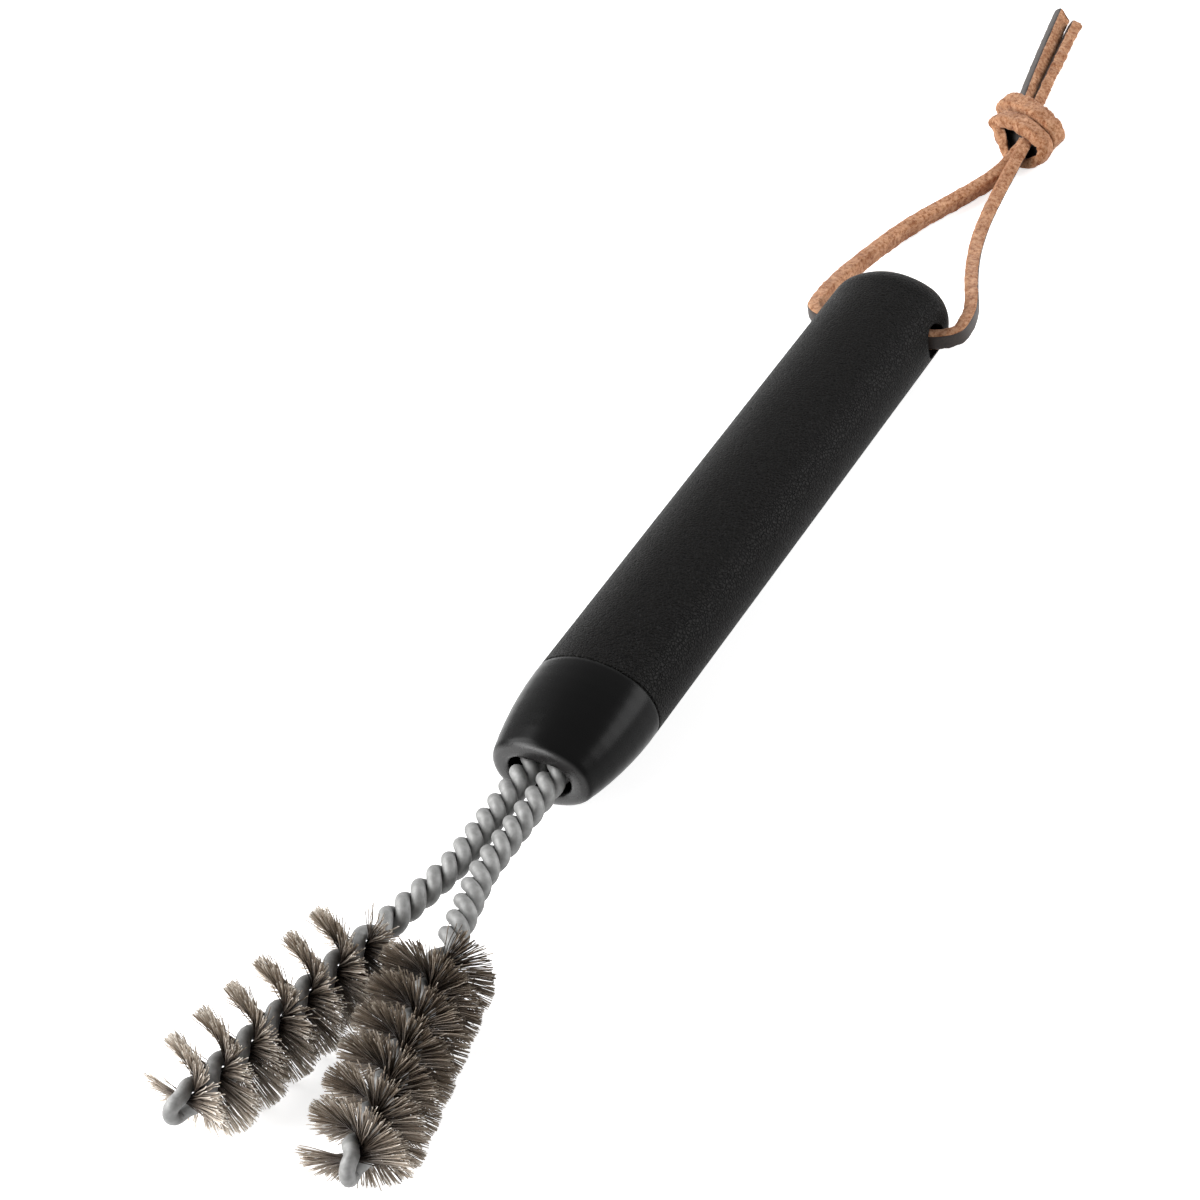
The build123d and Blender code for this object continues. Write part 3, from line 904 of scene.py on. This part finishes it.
for name, route, hand, roll_degrees in LEGS:
    line = route_line(f"{name}_route", route)
    level = unit(hand * np.cross(unit(np.gradient(line, axis=0)), UP))
    share = smooth(np.linalg.norm(line - line[0], axis=1) / ROLL_LENGTH - ROLL_DELAY)
    roll = (math.radians(roll_degrees) * share)[:, None]
    grain_way = level * np.cos(roll) + UP * np.sin(roll)
    strip = lay_on_brush(strip_mesh(f"{name}_strip", line, grain_way), name)
    print(strip.name, "length", round(line_length(line) / MM, 1), "mm")

# %% [markdown]
# The knot is an overhand knot of the doubled lace. It shows as two bands that lie side by side over
# the top, and an open turn in front that the legs come through. Threading one strip through its own
# loop is hard to steer, and most of it would be hidden. Two closed turns of the same strip show the
# same. Their dark grain side is turned inward, and one pass of dark grain inside closes the view
# through them: partly the lace inside the knot, partly painted shade for the deep shadow in its
# openings. The points follow the middle of the strip round each turn, in millimetres.

# %% Turns of the knot
BACK_TURN = (
    (-253.4, -16.4, 7.4), (-251.4, -12.2, 9.4), (-248.8, -7.2, 10.0), (-246.4, -2.4, 9.4),
    (-244.6, 1.4, 7.2), (-244.2, 2.0, 4.2), (-246.0, -1.0, 2.0), (-249.0, -7.0, 1.9),
    (-252.0, -12.6, 2.0), (-253.6, -16.0, 4.4),
)
FRONT_TURN = (
    (-245.0, -15.4, 6.9), (-243.9, -11.8, 8.9), (-242.4, -7.0, 9.0), (-240.4, -2.2, 8.2),
    (-238.6, 1.4, 6.0), (-236.6, 1.4, 3.4), (-234.9, -1.8, 2.0), (-235.6, -5.8, 1.6),
    (-237.9, -9.4, 2.0), (-240.6, -11.8, 3.6), (-243.4, -14.4, 4.9),
)
# A pass of dark grain inside the knot: partly the lace that runs through it, partly painted shade in its
# openings.
INNER_SHADE_PASS = ((-246.0, -13.2, 4.3), (-243.6, -8.5, 3.5), (-241.4, -3.5, 3.3), (-240.2, -0.2, 3.5))
KNOT_ROUGH = 0.6 * MM  # a tight bend opens the fibres, so the knot is rougher than the legs


def closed_curve(points_mm, steps=16):
    """A smooth closed line through the points: a Catmull-Rom spline."""
    points = np.array(points_mm) * MM
    before, after, beyond = np.roll(points, 1, 0), np.roll(points, -1, 0), np.roll(points, -2, 0)
    t = (np.arange(steps) / steps)[None, :, None]
    a, b, c, d = (p[:, None] for p in (before, points, after, beyond))
    line = 0.5 * (2 * b + (c - a) * t + (2 * a - 5 * b + 4 * c - d) * t**2 + (3 * b - a - 3 * c + d) * t**3)
    return line.reshape(-1, 3)


def knot_band(name, points_mm, top_axis, low_axis, width_mm, thickness_mm, low_slimness):
    """One turn. Its width lies along top_axis over the top and along low_axis underneath."""
    line = evenly_spaced(closed_curve(points_mm), closed=True)
    height = line[:, 2:]
    share = smooth((height - height.min()) / (height.max() - height.min()))
    axis = unit(unit(np.array(top_axis)) * share + unit(np.array(low_axis)) * (1 - share))
    # The dark grain faces inward, which darkens the turn's opening as painted shade.
    inward = line.mean(0) - line
    inward -= axis * np.sum(inward * axis, axis=1)[:, None]
    slimness = (share + low_slimness * (1 - share))[:, 0]
    band = strip_mesh(
        name, line, inward, closed=True, width=width_mm * MM, thickness=thickness_mm * MM,
        rough=KNOT_ROUGH, slimness=slimness,
    )
    return lay_on_brush(band, "lace_knot")


inner_shade_line = evenly_spaced(np.array(INNER_SHADE_PASS) * MM)
knot_pieces = [
    knot_band("knot_back_turn", BACK_TURN, (0.95, -0.31, 0), (0.95, -0.31, 0), 5.2, 3.9, 0.8),
    knot_band("knot_front_turn", FRONT_TURN, (0.95, -0.31, 0.1), (0.7, 0.3, 0.6), 5.0, 3.7, 0.74),
    lay_on_brush(
        strip_mesh("knot_inner_shade_pass", inner_shade_line, (0.66, -0.2, 0.72), width=9.0 * MM, thickness=2.2 * MM),
        "lace_knot",
    ),
]

# %% [markdown]
# Two tails leave the back of the knot. They were cut by hand, so they differ: the long one is
# thicker and smoother, is cut to a point, and lies rolled so that a stripe of grain shows on top.
# A cut could be a Boolean, but pulling back every point that lies beyond the cut is simpler.

# %% Tails
# name: route in mm, roll in degrees, depth of the pointed cut, thickness and roughness in mm
TAILS = {
    "knot_long_tail": (
        ((-250, -10.8, 4.6), (-256, -13.2, 3.2), (-285, -19.3, 2.7), (-310.8, -23.8, 2.6)),
        47, 5.0, 4.3, 0.3,
    ),
    "knot_short_tail": (
        ((-248, -8.0, 4.6), (-253, -9.8, 2.9), (-285.9, -15.3, 2.2), (-304.6, -17.8, 2.2)),
        34, 0.6, 3.3, 0.7,
    ),
}


def cut_end(tail, end, heading, point_mm):
    """Cut a tail's end to a point on one side, by pulling back what lies beyond the cut."""
    corners = np.empty(len(tail.data.vertices) * 3)
    tail.data.vertices.foreach_get("co", corners)
    corners = corners.reshape(-1, 3)
    side = np.cross(UP, heading)
    left_over = (corners - end) @ heading
    off_side = (corners - end) @ side
    limit = -(point_mm * MM) * np.clip(0.5 - off_side / LACE_WIDTH, 0, 1)
    corners -= np.outer(np.maximum(left_over - limit, 0), heading)
    tail.data.vertices.foreach_set("co", corners.ravel())


for name, (route, roll_degrees, point_mm, thickness_mm, rough_mm) in TAILS.items():
    line = route_line(f"{name}_route", route)
    heading = unit(line[-1] - line[0])
    roll = math.radians(roll_degrees)
    grain_way = np.cross(UP, heading) * math.cos(roll) + UP * math.sin(roll)
    tail = strip_mesh(name, line, grain_way, thickness=thickness_mm * MM, rough=rough_mm * MM)
    cut_end(tail, line[-1], heading, point_mm)
    knot_pieces.append(lay_on_brush(tail, "lace_knot"))

# %% [markdown]
# Each half of the lace leaves the hole's mouth at the side of the grip, is limp, lies loose and ends
# at the knot. The knot's pieces are counted.

# %% The knot's pieces
print("knot of", len(knot_pieces), "pieces")

# %% [markdown]
# ## Table and surroundings
#
# The brush lies on a plain white card in a white room. A card that is lit only by lamps turns grey
# away from them, and a room that lit as strongly as it looks would flatten every shadow. So both
# look brighter than they light: the Light Path node tells rays that go to the eye, straight or by
# way of a reflection or through glass, from those that carry light to the brush.

# %% Card


def seen_by_eye(owner):
    """1 for a ray that goes to the eye, straight, by reflection or through glass, and 0 for others."""
    path = add_node(owner, "ShaderNodeLightPath").outputs
    direct = add_node(
        owner, "ShaderNodeMath", {0: path["Is Camera Ray"], 1: path["Is Glossy Ray"]}, operation="ADD"
    ).outputs[0]
    return add_node(
        owner, "ShaderNodeMath", {0: direct, 1: path["Is Transmission Ray"]}, operation="ADD",
        use_clamp=True,
    ).outputs[0]


def white_card():
    """Smooth white paper board, matt and nearly even. It glows a little to the eye alone."""
    material = new_material("white card")
    place = add_node(material, "ShaderNodeTexCoord").outputs["Object"]
    cloud = add_node(
        material, "ShaderNodeTexNoise", {"Vector": place, "Scale": repeats(30.0), "Detail": 3.0}
    ).outputs["Fac"]
    colour = add_node(
        material, "ShaderNodeValToRGB", {"Fac": cloud}, stops=((0.3, "f3f3f3"), (0.7, "f7f7f7"))
    ).outputs["Color"]
    board = add_node(material, "ShaderNodeBsdfDiffuse", {"Color": colour})
    strength = add_node(
        material, "ShaderNodeMapRange", {"Value": seen_by_eye(material), "To Min": 0.0, "To Max": 0.7}
    ).outputs["Result"]
    glow = add_node(material, "ShaderNodeEmission", {"Strength": strength})
    both = add_node(
        material, "ShaderNodeAddShader", {0: board.outputs["BSDF"], 1: glow.outputs["Emission"]}
    )
    add_node(material, "ShaderNodeOutputMaterial", {"Surface": both.outputs["Shader"]})
    return material


TABLE_HALF = 6  # metres, so that its edge is far out of view
table_corners = [(x * TABLE_HALF, y * TABLE_HALF, 0) for x, y in ((-1, -1), (1, -1), (1, 1), (-1, 1))]
table = mesh_piece("table", table_corners, [(0, 1, 2, 3)], [white_card()], smooth_shade=False)
table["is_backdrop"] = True
print("table of", 2 * TABLE_HALF, "metres")

# %% Room
ROOM_LIGHT, ROOM_LOOK = 0.1, 1.0  # how strongly the room lights the brush, and how bright it looks

world = bpy.data.worlds.new("studio")
bpy.context.scene.world = world
world.use_nodes = True
background = world.node_tree.nodes["Background"]
background.inputs["Color"].default_value = paint("ffffff")
strength = add_node(
    world, "ShaderNodeMapRange", {"Value": seen_by_eye(world), "To Min": ROOM_LIGHT, "To Max": ROOM_LOOK}
).outputs["Result"]
world.node_tree.links.new(strength, background.inputs["Strength"])
print("the room lights with", ROOM_LIGHT, "and looks like", ROOM_LOOK)

# %% [markdown]
# ## Light and camera
#
# Three softboxes light the brush. The large one at its left shapes the handle, the one behind it on
# the right lights the lace and the handle's right side, and a small, weak one low in front fills in
# the head and the mouth of the collar. The larger a lamp is, the softer are its shadows and
# highlights. The camera has a long lens, which keeps the handle from tapering too much. It stands
# beyond the brush head, above it and to its right, and looks back towards the lace.

# %% Softboxes


def softbox(name, location, aim, size, power):
    """A rectangular lamp in watts that looks at a point."""
    light = bpy.data.lights.new(name, "AREA")
    light.shape = "RECTANGLE"
    light.size, light.size_y = size
    light.energy = power
    lamp = bpy.data.objects.new(name, light)
    lamp.location = location
    lamp.rotation_euler = (Vector(aim) - Vector(location)).to_track_quat("-Z", "Y").to_euler()
    bpy.context.scene.collection.objects.link(lamp)
    print(name, "of", power, "W")


softbox("large softbox", (0.25, -0.85, 0.75), (0, 0, 0), (0.9, 0.7), 20)
softbox("side softbox", (-0.65, 0.8, 0.36), (0, 0, 0), (1.0, 0.6), 11)
softbox("front softbox", (0.42, -0.22, 0.2), (0.1, 0, 0), (0.3, 0.2), 1.3)

# %% Camera
CAMERA_PLACE = Vector((0.4482, 0.3297, 0.4835))
CAMERA_LOOK = Vector((-0.60605, -0.45647, -0.65141))
CAMERA_ROLL = math.radians(-11.8)

camera_data = bpy.data.cameras.new("camera")
camera_data.lens = 96
camera_data.sensor_width = 36
camera_data.shift_x = 0.002
camera_data.shift_y = 0.083
camera_data.clip_start = 0.01
camera = bpy.data.objects.new("camera", camera_data)
bpy.context.scene.collection.objects.link(camera)
bpy.context.scene.camera = camera
turn = CAMERA_LOOK.to_track_quat("-Z", "Y").to_matrix().to_4x4()
camera.matrix_world = Matrix.Translation(CAMERA_PLACE) @ turn @ Matrix.Rotation(CAMERA_ROLL, 4, "Z")

bpy.context.scene.view_settings.view_transform = "Standard"
print("camera", round(CAMERA_PLACE.length, 2), "metres from the middle of the brush")

# %% [markdown]
# ## Two boxes
#
# The box round the imported model and the box round the dressed brush, with its lace, are worked
# out, and the length of the dressed brush is printed.

# %% Finish
boxes = {"cad": cad_box, "visual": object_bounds()}

visual_low, visual_high = boxes["visual"]
print("the dressed brush is", round((visual_high[0] - visual_low[0]) / MM, 1), "mm long with its lace")
